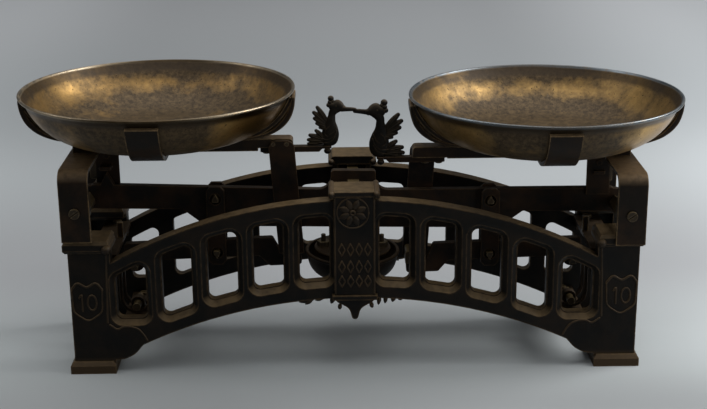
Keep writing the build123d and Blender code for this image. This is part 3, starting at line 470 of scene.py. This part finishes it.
relief = []
for s in (-1, 1):
    centre = LEG_X * s
    wave = curve([(-14.8, 86), (-8.6, 92.4), (0, 88.6), (8.6, 92.4), (14.8, 86)])
    edge = curve([(14.8, 86), (14.2, 75), (13.2, 64), (7, 58), (0, 54.6), (-7, 58), (-13.2, 64), (-14.2, 75),
                  (-14.8, 86)])
    for line, radius in ((wave, 0.00125), (edge, 0.0009)):
        relief.append(sweep(on_face(line + (centre, 0), FACE), radius, 0.0011))
    one = curve([(-7.6, 77.5), (-5.2, 80.5), (-5.0, 74), (-5.0, 64.5)], 6)
    relief.append(sweep(on_face(one + (centre, 0), FACE), MARK_LINE, MARK_LINE))
    relief.append(sweep(on_face(ring(centre + 4.4, 72.6, 4.3, 7.6), FACE), MARK_LINE, MARK_LINE))
    bracket = curve([(236, 49.5), (229, 45), (223, 47.5), (216, 47.2), (209, 44.5), (204, 38.5), (201, 33)])
    relief.append(sweep(on_face(bracket * (s, 1), FACE), MARK_LINE, 0.0009))
    post_line = curve([(235.4, 121), (236.4, 100), (237.2, 76), (238, 52)])
    relief.append(sweep(on_face(post_line * (s, 1), FACE), MARK_LINE, 0.0008))
    x = s * FLANGE_ROLL_X
    roll = np.linspace((x, -0.0695, FLANGE_ROLL_Z), (x, -0.0385, FLANGE_ROLL_Z), 8)
    relief.append(sweep(roll, FLANGE_ROLL_RADIUS, FLANGE_ROLL_RADIUS, (0.0, 0.0, 1.0), 20))
for s in (-1, 1):
    roll = np.linspace((s * CAP_ROLL_X, -0.0738, CAP_ROLL_Z), (s * CAP_ROLL_X, -0.0372, CAP_ROLL_Z), 10)
    relief.append(sweep(roll, CAP_ROLL_RADIUS, CAP_ROLL_RADIUS, (0.0, 0.0, 1.0), 20))
for turn in np.radians(np.arange(8) * 45 + 22.5):
    outward = np.array([cos(turn), sin(turn)])
    petal = on_face([FLOWER + PETAL_FROM * outward, FLOWER + PETAL_TO * outward], PILLAR_FACE)
    relief.append(leaf(*petal, 0.0033, 0.0013))
relief.append(sweep(on_face(ring(*FLOWER, FLOWER_RING, FLOWER_RING, 40), PILLAR_FACE), 0.0008, 0.0009))
relief.append(sweep(on_face(ring(*FLOWER, FLOWER_EYE, FLOWER_EYE), PILLAR_FACE), 0.0012, 0.0018))
part_way = np.linspace(0, 1, 5, endpoint=False)[None, :, None]
for z, high in LOZENGE_ROWS:
    for x in LOZENGE_COLUMNS:
        lozenge = np.array([(x, z + high), (x + LOZENGE_HALF_WIDTH, z), (x, z - high),
                            (x - LOZENGE_HALF_WIDTH, z), (x, z + high)])
        line = (lozenge[:-1, None] + (lozenge[1:, None] - lozenge[:-1, None]) * part_way).reshape(-1, 2)
        line = np.vstack([line, lozenge[:1]])
        relief.append(sweep(on_face(line, PILLAR_FACE), 0.0008, 0.0009, around=10))
for x in (-BORDER_X, BORDER_X):
    border = np.linspace((x, BORDER_LOW), (x, BORDER_HIGH), 12)
    relief.append(sweep(on_face(border, PILLAR_FACE), 0.0008, 0.0007))
for root, tip, width in LEAVES:
    relief.append(leaf(*on_face([root, tip], DROP_FACE), width / 1000, 0.0050))

# Rubbed cast iron: the same casting where it stands out and is handled, browner and smoother.
rubbed_iron = old_iron(
    "rubbed_cast_iron", coat="#1e1811", rust="#35291b", bare="#6f5a40", dust_and_top_light="#4c3e2c",
    grain=CAST_GRAIN, roughness=0.42, wear_width=0.0008,
)
for label, half_turn in (("front", 1), ("rear", -1)):
    ornament = shell(label + "_cast_relief", [grid * (half_turn, half_turn, 1) for grid in relief])
    ornament.data.materials.append(rubbed_iron)
    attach(ornament, "frame")

# Beam, levers and links: castings and plates inside the frame. Their paint has mostly gone, and brown rust
# shows through it in patches.
beam_iron = old_iron(
    "rusted_beam_iron", coat="#0f0b07", rust="#2c1c0d", bare="#4e3c27", dust_and_top_light="#33291d",
    grain=CAST_GRAIN, roughness=0.55, wear_width=0.0018,
)
for name in ("main_beam", "left_lever", "right_lever", "left_link", "right_link"):
    finished(name, beam_iron, CASTING_ARRIS)

# Carriers, ties and anchors. Crosses, end straps and limit stops are forged iron, browner and smoother than
# the castings and burnished to a thin bright line along the arrises. Posts, pointer bars, ties, brackets and
# rings are handled less, and are as rusty as the beam.
FORGED_ARRIS = 0.0006
STOP_ARRIS = 0.0005
FORGED_GRAIN = 0.0009
forged_iron = old_iron(
    "browned_forged_iron", coat="#130e09", rust="#2b1d10", bare="#8d7553", dust_and_top_light="#61503b",
    grain=FORGED_GRAIN, roughness=0.42, wear_width=0.0018,
)
for side in ("left", "right"):
    finished(side + "_end_strap", forged_iron, FORGED_ARRIS)
    finished(side + "_cross", forged_iron, FORGED_ARRIS)
    for name in ("inner_post", "outer_post", "post_pin", "pointer_bar", "top_tie", "low_tie",
                 "anchor_bracket", "anchor_rings"):
        finished(f"{side}_{name}", beam_iron, FORGED_ARRIS)
finished("limit_stops", forged_iron, STOP_ARRIS)

# Side hooks: each cross has a broad strip at its left and right end, forged in one with it. It rises outside
# the bowl and keeps it from sliding off. It swells out from the arm and thins again at the tip.
# Places are in millimetres: distance from the cross's middle, height with the beam level, half thickness.
ARM = 258
LEAN = radians(1.1)
REST_DROP = ARM * sin(LEAN)
REST_SHIFT = ARM * (1 - cos(LEAN))
PAN_X = 187
HOOK_HALF_WIDTH = 0.0158
HOOK_LINE = (
    (84, 214.2, 1.6), (98, 216.6, 1.8), (110, 221.2, 2.2), (118.5, 227.6, 3.0), (124.6, 235.2, 3.2),
    (128.2, 243.5, 2.8), (130.0, 250.5, 2.1), (130.3, 254.5, 1.8),
)
for side, s in (("left", -1), ("right", 1)):
    grids = []
    for outward in (-1, 1):
        line = curve(HOOK_LINE, 5)
        place = s * (PAN_X - REST_SHIFT) + outward * line[:, 0]
        path = np.stack([place, np.zeros(len(line)), line[:, 1] - s * REST_DROP], -1) / 1000
        grids.append(sweep(path, line[:, 2] / 1000, HOOK_HALF_WIDTH, around=36, square=0.22))
    hooks = shell(side + "_side_hooks", grids)
    hooks.data.materials.append(forged_iron)
    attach(hooks, side + "_carrier")

# Knives, bearings, screws and rivets: turned and ground steel, dulled to a brownish grey by air and hands.
# The knives are driven into beam and levers, the bearings sit in the pillars and the straps.
STEEL_ARRIS = 0.0003
steel = old_iron(
    "dulled_tool_steel", coat="#2d261d", rust="#403425", bare="#85755a", dust_and_top_light="#54472f",
    grain=0.0006, roughness=0.36, wear_width=0.001,
)
for name in ("front_bearing", "rear_bearing", "centre_knife", "link_knives", "tie_screws", "tare_screws",
             "tare_nuts"):
    finished(name, steel, STEEL_ARRIS, 1)
for side in ("left", "right"):
    for name in ("end_knife", "strap_bearings", "strap_screws", "rivets", "post_foot", "lever_knives",
                 "anchor_pin"):
        finished(f"{side}_{name}", steel, STEEL_ARRIS, 1)

# Tare pot: a round cast cup with a rolled rim, closed by a flat lid and held under the beam by two screws. It
# is as rusty as the beam, and it leans with it.
# Its outline runs from under the middle out over the rim and back inside, in millimetres.
LID_ARRIS = 0.0005
BEAM_HEIGHT = 160
RIM_DROP = 59
POT_RADII = np.array([0, 16, 26, 33, 38.5, 42.3, 44.4, 45.2, 45.6, 46.6, 47, 46.6, 45.4, 43.6, 43, 40, 34, 24,
                      12, 0.0])
POT_DEPTHS = np.array([-27, -27, -26.4, -24.6, -21.2, -16, -10, -5, -3.4, -2.6, -1.4, -0.3, 0, -0.5, -5, -15,
                       -22.5, -24.6, -25, -25.0])
finished("tare_lid", beam_iron, LID_ARRIS)
profile = curve(np.stack([POT_RADII, POT_DEPTHS], -1), 4)
pot = lathe(profile[:, 0].clip(0), profile[:, 1] - RIM_DROP, 96)
x, z = pot[..., 0].copy(), pot[..., 2].copy()
pot[..., 0] = x * cos(LEAN) + z * sin(LEAN)
pot[..., 2] = z * cos(LEAN) - x * sin(LEAN) + BEAM_HEIGHT
pot = shell("cast_tare_pot", [pot / 1000])
pot.data.materials.append(beam_iron)
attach(pot, "beam")
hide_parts("tare_pot")

# Ducks: two small castings that face each other over the middle and show the balance. Each stands on its
# bar by a stud with a ball nut. Wing, tail and crest are modelled on both faces.
# For each side: its sign, the stud's place and the bar's top in millimetres, the lean in degrees, the size.
DUCKS = {"left": (-1, 24.6, 203, 0.0, 0.92), "right": (1, 27.4, 201, 8.4, 1.06)}
DUCK_THICKNESS = 0.94
NUT_TOP = 2.5
NUT_RADII = np.array([0.0, 2.2, 2.2, 2.6, 3.3, 3.6, 3.3, 2.4, 1.1, 0.0])
NUT_HEIGHTS = np.array([0.0, 0.0, -0.7, -1.1, -2.0, -3.2, -4.4, -5.4, -6.1, -6.3])
duck_iron = old_iron(
    "blackened_fine_casting", coat="#0b0906", rust="#1a140c", bare="#54452f", dust_and_top_light="#3a3022",
    grain=0.0007, roughness=0.45, wear_width=0.0008,
)


def duck_grids():
    """Grids of a duck about its stud in millimetres, x outward, z up, its thickness along y.

    The body is one rod along the spine whose half width swells at the belly and narrows at the neck. Feathers
    are leaves, each with a raised quill, bent down a little towards the tip.
    """
    def flat(points, y=0.0):
        points = np.asarray(points, float)
        return np.stack([points[:, 0], np.full(len(points), y), points[:, 1]], -1)

    # Body, head, beak and crest: x, z and half width at each point.
    spine = curve([(-1.0, 0.9, 5.6), (-1.9, 5, 8.6), (-3.2, 12, 9.3), (-3.4, 19, 7.9), (-3.6, 25, 5.8),
                   (-4.8, 31, 4.1), (-5.6, 35, 4.0), (-8.6, 39.5, 5.2)], 6)
    grids = [sweep(flat(spine[:, :2]), spine[:, 2], np.minimum(spine[:, 2] * 0.75, 3.4), around=24)]
    skull = curve([(-6.6, 42.4, 5.2), (-8.8, 42.2, 7.0), (-11.4, 41.9, 7.3), (-14.2, 41.2, 5.9),
                   (-16.8, 40.2, 3.4)], 5)
    grids.append(sweep(flat(skull[:, :2]), skull[:, 2], np.minimum(skull[:, 2] * 0.8, 3.6), around=20))
    beak = curve([(-15.5, 39.8, 3.2), (-20, 39.4, 2.5), (-26, 39.2, 2.2), (-29.4, 38.9, 2.0)], 6)
    grids.append(sweep(flat(beak[:, :2], 1.8), beak[:, 2], np.minimum(beak[:, 2], 1.35), around=14))
    for x, z, radius in ((-3.6, 46.4, 2.9), (-1.9, 43.6, 2.6), (-4.2, 50.6, 3.2), (-5.6, 47.6, 2.4)):
        ball = flat([(x - 0.05, z), (x + 0.05, z)])
        grids.append(sweep(ball, radius, min(radius, 2.8), around=16))
    # Feathers of the wing, then of the tail: root, lean in degrees, length, half width and droop in degrees.
    feathers = (
        ((-0.5, 24), 60, 21.8, 3.1, -4), ((0.0, 23), 45, 20.2, 3.3, -6), ((0.5, 22), 32, 15.8, 3.2, -5),
        ((0.5, 21), 17, 11.6, 3.0, -3), ((0.0, 19.5), 0, 8.0, 2.8, -2),
        ((2, 5.5), 49, 15.4, 3.0, -5), ((2, 5), 24, 18.6, 3.3, -8), ((2, 4.6), 8, 19.4, 3.1, -8),
        ((2, 3.6), -3, 19.6, 2.6, -6),
    )
    for root, lean, length, width, droop in feathers:
        way = np.linspace(0, 1, 15)
        turn = np.radians(lean + droop * way**2 * 1.6)
        step = length / 14
        x = root[0] + step * np.concatenate([[0], np.cumsum(np.cos(turn[:-1]))])
        z = root[1] + step * np.concatenate([[0], np.cumsum(np.sin(turn[:-1]))])
        shape = 0.7 + 0.3 * np.sin(pi * way) - 0.18 * way**3
        line = flat(np.stack([x, z], -1))
        grids.append(sweep(line[:-1], width * shape[:-1], 2.5 * shape[:-1], around=14))
        quill = line[2:-2]
        grids.append(sweep(quill, 0.6, 3.3 * shape[2:-2], around=8))
        along = np.gradient(line, axis=0)
        side_step = np.stack([-along[:, 2], along[:, 1], along[:, 0]], -1)
        side_step /= np.linalg.norm(side_step, axis=1, keepdims=True)
        for offset in (-0.5, 0.5):
            barb = (line + offset * width * 1.05 * side_step)[3:-3]
            grids.append(sweep(barb, 0.4, 2.85 * shape[3:-3], around=8))
    # Folds of the plumage on the body, and the eye.
    for line in (
        [(-9.8, 16), (-6, 9.5), (0, 7), (6, 8)], [(-8, 10), (-4, 5.2), (2, 3.4), (9, 4)],
        [(-3, 22), (1, 18), (2.5, 13), (-0.5, 9.8)], [(-9.6, 20), (-6.5, 15), (-2.5, 12.5)],
    ):
        fold = flat(curve(line, 6))
        grids.append(sweep(fold, 0.6, 3.75, around=10))
    eye = flat([(-9.55, 43.4), (-9.45, 43.4)])
    grids.append(sweep(eye, 1.3, 4.0, around=12))
    return grids


for side, (s, stud, bar_top, lean, size) in DUCKS.items():
    turn = radians(lean)
    grids = []
    for grid in duck_grids():
        x, y, z = (grid[..., i] * size for i in range(3))
        x, z = x * cos(turn) + z * sin(turn), z * cos(turn) - x * sin(turn)
        place = (
            s * (x + stud - REST_SHIFT),
            s * y * DUCK_THICKNESS / size,
            np.maximum(z, 0.0) + bar_top - s * REST_DROP,
        )
        grids.append(np.stack(place, -1) / 1000)
    duck = shell(side + "_cast_duck", grids)
    duck.data.materials.append(duck_iron)
    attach(duck, side + "_carrier")
    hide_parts(side + "_duck")
    nut_x, nut_z = s * (stud - REST_SHIFT), bar_top - NUT_TOP - s * REST_DROP
    nut_grid = lathe(NUT_RADII / 1000, (NUT_HEIGHTS + nut_z) / 1000, 28, (nut_x / 1000, 0.0))
    nut = shell(side + "_ball_nut", [nut_grid])
    nut.data.materials.append(duck_iron)
    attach(nut, side + "_carrier")
    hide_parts(side + "_duck_nut")

# Pans: brass bowls spun from sheet over a form, with a rolled rim. They lie loose on the crosses.
# Sizes of the shape are in millimetres.
PAN_FLOOR = 216
FLOOR_EDGE = 70
FLOOR_STEPS = 9
SIDE_RADIUS = 60
SIDE_ANGLE = radians(68)
PAN_WALL = 1.6
BEAD = 1.45
BEAD_X, BEAD_Z = 130.9, 261.4
PAN_TURNS = 240
KNOCK_SHARE = 0.0052
KNOCK_DIP = 0.35
KNOCKS_START, KNOCKS_RISE = 6, 40

# Colours of the brass and of what lies on it, with the painted shade of the rim at the front and back and the
# painted shadow under the rim, sizes of its patterns in metres, and where they lie: distances from the axis
# for the brown skin and the rim, heights over the floor for the tarnish and the painted shadow band.
DULL_METAL = "#8f7040"
DARK_BROWN, PALE_BROWN = "#2b2114", "#56462f"
DARK_SPOT = "#2b2116"
DRIED_OXIDE = "#8d8678"
RIM_PAINTED_SHADE_COLOUR = "#3a2f20"
PAINTED_RIM_SHADOW = "#30261a"
CLOUD_SIZE, BLOTCH_SIZE, MOTTLE_SIZE, SPECK_SIZE = 0.045, 0.009, 0.005, 0.0022
RINGS_PER_METRE = 700
SKIN_ENDS, SKIN_FULL = 0.1175, 0.103
RIM_STARTS, RIM_FULL = 0.1281, 0.129
TARNISH_STARTS, TARNISH_FULL = 0.025, 0.037
SHADOW_BAND_STARTS, SHADOW_BAND_FULL = 0.035, 0.0385
OXIDE_PLACE = (0.017, 0.103, 0.024)
OXIDE_REACH, OXIDE_CORE = 0.014, 0.002


def aged_brass(name, centre_x, low, patina, bright, oxide, rim_shade_depth, seed):
    """Old satin brass with a brown skin.

    centre_x and low are the place of the bowl's middle and of its floor. patina is how much of the brass is
    brown, from 0 to 1, bright its clean colour, oxide the rim's colour, the argument after it how far the rim
    is darkened by painted shade at the front and back, and seed moves the patterns.
    Spinning leaves fine rings round the axis, and use a fine mottle. Brown patina lies in clouds, thick on
    the floor and under the rim, the rim itself is grey with oxide, and dark spots are scattered over all. A
    painted shadow darkens a band under the rim, painted dark reflection darkens the front and back, and a
    painted highlight brightens the right-hand end outside.
    Real spun rings are under 1 mm apart. They are drawn coarser here, so that they show.
    """
    material = bpy.data.materials.new(name)
    material.use_nodes = True
    tree = material.node_tree
    shader = tree.nodes["Principled BSDF"]
    shader.inputs["Specular IOR Level"].default_value = 0.3
    place = add(tree, "ShaderNodeTexCoord").outputs["Object"]
    local = add(
        tree, "ShaderNodeMapping", {"Vector": place, "Location": (-centre_x, 0.0, -low)}
    ).outputs[0]
    axes = add(tree, "ShaderNodeSeparateXYZ", {"Vector": local}).outputs
    flat = add(tree, "ShaderNodeCombineXYZ", {"X": axes["X"], "Y": axes["Y"]}).outputs[0]
    radius = add(tree, "ShaderNodeVectorMath", {"Vector": flat}, operation="LENGTH").outputs["Value"]
    outward = add(tree, "ShaderNodeVectorMath", {0: flat}, operation="NORMALIZE").outputs[0]
    normal = add(tree, "ShaderNodeNewGeometry").outputs["Normal"]
    facing = add(
        tree, "ShaderNodeVectorMath", {0: normal, 1: outward}, operation="DOT_PRODUCT"
    ).outputs["Value"]
    lift = add(tree, "ShaderNodeSeparateXYZ", {"Vector": normal}).outputs["Z"]
    inner = add(tree, "ShaderNodeMath", {0: lift, 1: facing}, operation="SUBTRACT").outputs[0]
    inside = add(tree, "ShaderNodeMapRange", {"Value": inner, "From Min": -0.1, "From Max": 0.1}).outputs[0]
    shifted = add(tree, "ShaderNodeMapping", {"Vector": place, "Location": (seed, 0.7 * seed, 0.0)}).outputs[0]
    clouds = add(
        tree, "ShaderNodeTexNoise", {"Vector": shifted, "Scale": 1 / CLOUD_SIZE, "Detail": 7, "Roughness": 0.6}
    ).outputs[0]
    blotches = add(
        tree, "ShaderNodeTexNoise",
        {"Vector": shifted, "Scale": 1 / BLOTCH_SIZE, "Detail": 5, "Roughness": 0.7},
    ).outputs[0]
    specks = add(
        tree, "ShaderNodeTexNoise", {"Vector": shifted, "Scale": 1 / SPECK_SIZE, "Detail": 2, "Roughness": 0.5}
    ).outputs[0]
    # The floor and the foot of the wall inside are browner than the rest.
    on_floor = add(
        tree, "ShaderNodeMapRange", {"Value": radius, "From Min": SKIN_ENDS, "From Max": SKIN_FULL}
    ).outputs[0]
    on_floor = add(tree, "ShaderNodeMath", {0: on_floor, 1: inside}, operation="MULTIPLY").outputs[0]
    base = add(
        tree, "ShaderNodeMapRange",
        {"Value": clouds, "From Min": 0.3, "From Max": 0.68, "To Min": patina - 0.42, "To Max": patina + 0.42},
    ).outputs[0]
    fine = add(
        tree, "ShaderNodeMapRange",
        {"Value": blotches, "From Min": 0.35, "From Max": 0.65, "To Min": -0.1, "To Max": 0.12},
    ).outputs[0]
    skin = add(tree, "ShaderNodeMath", {0: base, 1: fine}, operation="ADD").outputs[0]
    worn_in = add(tree, "ShaderNodeMath", {0: on_floor, 1: 0.6}, operation="MULTIPLY").outputs[0]
    skin = add(tree, "ShaderNodeMath", {0: skin, 1: worn_in}, operation="ADD").outputs[0]
    # Tarnish high inside the wall. At the front and back a painted dark reflection of the room darkens it
    # further, and darkens the outside there most.
    front_back_painted_shade = add(tree, "ShaderNodeSeparateXYZ", {"Vector": outward}).outputs["Y"]
    front_back_painted_shade = add(tree, "ShaderNodeMath", {0: front_back_painted_shade, 1: front_back_painted_shade}, operation="MULTIPLY").outputs[0]
    front_back_painted_shade = add(tree, "ShaderNodeMapRange", {"Value": front_back_painted_shade, "From Min": 0.6, "From Max": 0.97}).outputs[0]
    high_up = add(
        tree, "ShaderNodeMapRange",
        {"Value": axes["Z"], "From Min": TARNISH_STARTS, "From Max": TARNISH_FULL, "To Max": 0.5},
    ).outputs[0]
    most = add(tree, "ShaderNodeMapRange", {"Value": front_back_painted_shade, "To Min": 0.35, "To Max": 1.0}).outputs[0]
    high_up = add(tree, "ShaderNodeMath", {0: high_up, 1: most}, operation="MULTIPLY").outputs[0]
    high_up = add(tree, "ShaderNodeMath", {0: high_up, 1: inside}, operation="MULTIPLY").outputs[0]
    skin = add(tree, "ShaderNodeMath", {0: skin, 1: high_up}, operation="ADD").outputs[0]
    most = add(tree, "ShaderNodeMapRange", {"Value": inside, "To Min": 0.85, "To Max": 0.15}).outputs[0]
    painted_front_back_reflection = add(tree, "ShaderNodeMath", {0: front_back_painted_shade, 1: most}, operation="MULTIPLY").outputs[0]
    skin = add(tree, "ShaderNodeMath", {0: skin, 1: painted_front_back_reflection}, operation="ADD").outputs[0]
    # Outside, the right-hand end is painted as clean bright brass: a painted highlight on the side that faces
    # the right lamp.
    right_painted_highlight = add(tree, "ShaderNodeSeparateXYZ", {"Vector": outward}).outputs["X"]
    right_painted_highlight = add(
        tree, "ShaderNodeMapRange", {"Value": right_painted_highlight, "From Min": 0.3, "From Max": 0.8, "To Max": 0.6}
    ).outputs[0]
    outside = add(tree, "ShaderNodeMath", {0: 1.0, 1: inside}, operation="SUBTRACT").outputs[0]
    right_painted_highlight = add(tree, "ShaderNodeMath", {0: right_painted_highlight, 1: outside}, operation="MULTIPLY").outputs[0]
    skin = add(tree, "ShaderNodeMath", {0: skin, 1: right_painted_highlight}, operation="SUBTRACT", use_clamp=True).outputs[0]
    metal = add(
        tree, "ShaderNodeMixRGB", {"Fac": blotches, "Color1": linear(bright), "Color2": linear(DULL_METAL)}
    ).outputs[0]
    # Wear of use: a fine, sharp mottle that lightens the brown.
    mottle = add(
        tree, "ShaderNodeTexNoise",
        {"Vector": shifted, "Scale": 1 / MOTTLE_SIZE, "Detail": 8, "Roughness": 0.8},
    ).outputs[0]
    grime = add(tree, "ShaderNodeMapRange", {"Value": mottle, "From Min": 0.38, "From Max": 0.62}).outputs[0]
    brown = add(
        tree, "ShaderNodeMixRGB", {"Fac": grime, "Color1": linear(DARK_BROWN), "Color2": linear(PALE_BROWN)}
    ).outputs[0]
    colour = add(tree, "ShaderNodeMixRGB", {"Fac": skin, "Color1": metal, "Color2": brown}).outputs[0]
    spot = add(tree, "ShaderNodeMapRange", {"Value": specks, "From Min": 0.66, "From Max": 0.72}).outputs[0]
    colour = add(
        tree, "ShaderNodeMixRGB", {"Fac": spot, "Color1": colour, "Color2": linear(DARK_SPOT)}
    ).outputs[0]
    # A pale patch of dried oxide on the back wall.
    near = add(tree, "ShaderNodeVectorMath", {0: local, 1: OXIDE_PLACE}, operation="DISTANCE")
    patch = add(
        tree, "ShaderNodeMapRange",
        {"Value": near.outputs["Value"], "From Min": OXIDE_REACH, "From Max": OXIDE_CORE},
    ).outputs[0]
    patch = add(tree, "ShaderNodeMath", {0: patch, 1: blotches}, operation="MULTIPLY").outputs[0]
    patch = add(
        tree, "ShaderNodeMapRange", {"Value": patch, "From Min": 0.22, "From Max": 0.38, "To Max": 0.8}
    ).outputs[0]
    colour = add(
        tree, "ShaderNodeMixRGB", {"Fac": patch, "Color1": colour, "Color2": linear(DRIED_OXIDE)}
    ).outputs[0]
    # Oxide on the rim, and a painted shadow in a band under it.
    rim = add(
        tree, "ShaderNodeMapRange", {"Value": radius, "From Min": RIM_STARTS, "From Max": RIM_FULL}
    ).outputs[0]
    ragged = add(
        tree, "ShaderNodeMapRange", {"Value": blotches, "From Min": 0.3, "From Max": 0.5, "To Min": 0.5}
    ).outputs[0]
    rim = add(tree, "ShaderNodeMath", {0: rim, 1: ragged}, operation="MULTIPLY").outputs[0]
    # At the front and back the rim's oxide goes over to a painted shade.
    rim_painted_shade = add(tree, "ShaderNodeMath", {0: front_back_painted_shade, 1: rim_shade_depth}, operation="MULTIPLY").outputs[0]
    edge = add(
        tree, "ShaderNodeMixRGB", {"Fac": rim_painted_shade, "Color1": linear(oxide), "Color2": linear(RIM_PAINTED_SHADE_COLOUR)}
    ).outputs[0]
    colour = add(tree, "ShaderNodeMixRGB", {"Fac": rim, "Color1": colour, "Color2": edge}).outputs[0]
    under = add(
        tree, "ShaderNodeMapRange", {"Value": axes["Z"], "From Min": SHADOW_BAND_STARTS, "From Max": SHADOW_BAND_FULL}
    ).outputs[0]
    below = add(
        tree, "ShaderNodeMapRange", {"Value": radius, "From Min": RIM_FULL, "From Max": RIM_STARTS}
    ).outputs[0]
    painted_rim_shadow = add(tree, "ShaderNodeMath", {0: under, 1: below}, operation="MULTIPLY").outputs[0]
    painted_rim_shadow = add(tree, "ShaderNodeMath", {0: painted_rim_shadow, 1: 0.75}, operation="MULTIPLY").outputs[0]
    colour = add(
        tree, "ShaderNodeMixRGB", {"Fac": painted_rim_shadow, "Color1": colour, "Color2": linear(PAINTED_RIM_SHADOW)}
    ).outputs[0]
    tree.links.new(colour, shader.inputs["Base Color"])
    metallic = add(
        tree, "ShaderNodeMapRange", {"Value": skin, "To Min": 1.0, "To Max": 0.45}
    ).outputs[0]
    metallic = add(tree, "ShaderNodeMath", {0: metallic, 1: rim}, operation="MAXIMUM").outputs[0]
    tree.links.new(metallic, shader.inputs["Metallic"])
    gloss = add(
        tree, "ShaderNodeMapRange", {"Value": skin, "To Min": 0.3, "To Max": 0.55}
    ).outputs[0]
    rim_gloss = add(tree, "ShaderNodeMapRange", {"Value": rim, "To Min": 1.0, "To Max": 0.36}).outputs[0]
    gloss = add(tree, "ShaderNodeMath", {0: gloss, 1: rim_gloss}, operation="MINIMUM").outputs[0]
    tree.links.new(gloss, shader.inputs["Roughness"])
    # Spun rings and the mottle of wear, as bump.
    turns_out = add(tree, "ShaderNodeMath", {0: radius, 1: RINGS_PER_METRE}, operation="MULTIPLY").outputs[0]
    rings = add(
        tree, "ShaderNodeTexNoise", {"W": turns_out, "Scale": 1.0, "Detail": 3}, noise_dimensions="1D"
    ).outputs[0]
    marks = add(tree, "ShaderNodeMath", {0: mottle, 1: rings}, operation="ADD").outputs[0]
    bump = add(tree, "ShaderNodeBump", {"Height": marks, "Strength": 0.22, "Distance": 0.0004}).outputs[0]
    tree.links.new(bump, shader.inputs["Normal"])
    return material


side_turn = np.linspace(0, SIDE_ANGLE, 18)
bead_turn = np.linspace(radians(-135), radians(175), 18)
centre_z = PAN_FLOOR + SIDE_RADIUS
tight = SIDE_RADIUS - PAN_WALL
pan_radii = np.concatenate([
    np.linspace(0, FLOOR_EDGE, FLOOR_STEPS + 1)[:-1],
    FLOOR_EDGE + SIDE_RADIUS * np.sin(side_turn),
    BEAD_X + BEAD * np.cos(bead_turn),
    (FLOOR_EDGE + tight * np.sin(side_turn))[::-1],
    np.linspace(FLOOR_EDGE, 0, FLOOR_STEPS + 1)[1:],
])
pan_heights = np.concatenate([
    np.full(FLOOR_STEPS, float(PAN_FLOOR)),
    centre_z - SIDE_RADIUS * np.cos(side_turn),
    BEAD_Z + BEAD * np.sin(bead_turn),
    (centre_z - tight * np.cos(side_turn))[::-1],
    np.full(FLOOR_STEPS, PAN_FLOOR + PAN_WALL),
])
for side, s, patina, bright, oxide, rim_shade_depth, seed in (
    ("left", -1, 0.56, "#ad8850", "#8b7f6c", 0.95, 0.4),
    ("right", 1, 0.5, "#bd995f", "#6d7377", 0.6, 1.3),
):
    centre_x = s * (PAN_X - REST_SHIFT)
    grid = lathe(pan_radii, pan_heights, PAN_TURNS, (centre_x, 0.0))
    # Years of knocks: the wall comes in by up to 0.7 mm in slow waves, more towards the rim, and where it
    # doesn't, it sinks by up to KNOCK_DIP.
    angle = np.linspace(0, 2 * pi, PAN_TURNS, endpoint=False)
    wave = (2 + np.sin(3 * angle + seed) + 0.6 * np.sin(7 * angle + 2 * seed) + 0.4 * np.sin(13 * angle)) / 4
    part_up = np.clip((pan_heights - PAN_FLOOR - KNOCKS_START) / KNOCKS_RISE, 0, 1)[:, None]
    pull = 1 - KNOCK_SHARE * part_up * wave
    grid[..., 0] = centre_x + (grid[..., 0] - centre_x) * pull
    grid[..., 1] *= pull
    grid[..., 2] -= KNOCK_DIP * part_up * (1 - wave) + s * REST_DROP
    pan = shell(side + "_spun_pan", [grid / 1000])
    low = (PAN_FLOOR - s * REST_DROP) / 1000
    pan.data.materials.append(
        aged_brass(side + "_satin_brass", centre_x / 1000, low, patina, bright, oxide, rim_shade_depth, seed)
    )
    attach(pan, side + "_pan")
    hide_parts(side + "_pan")
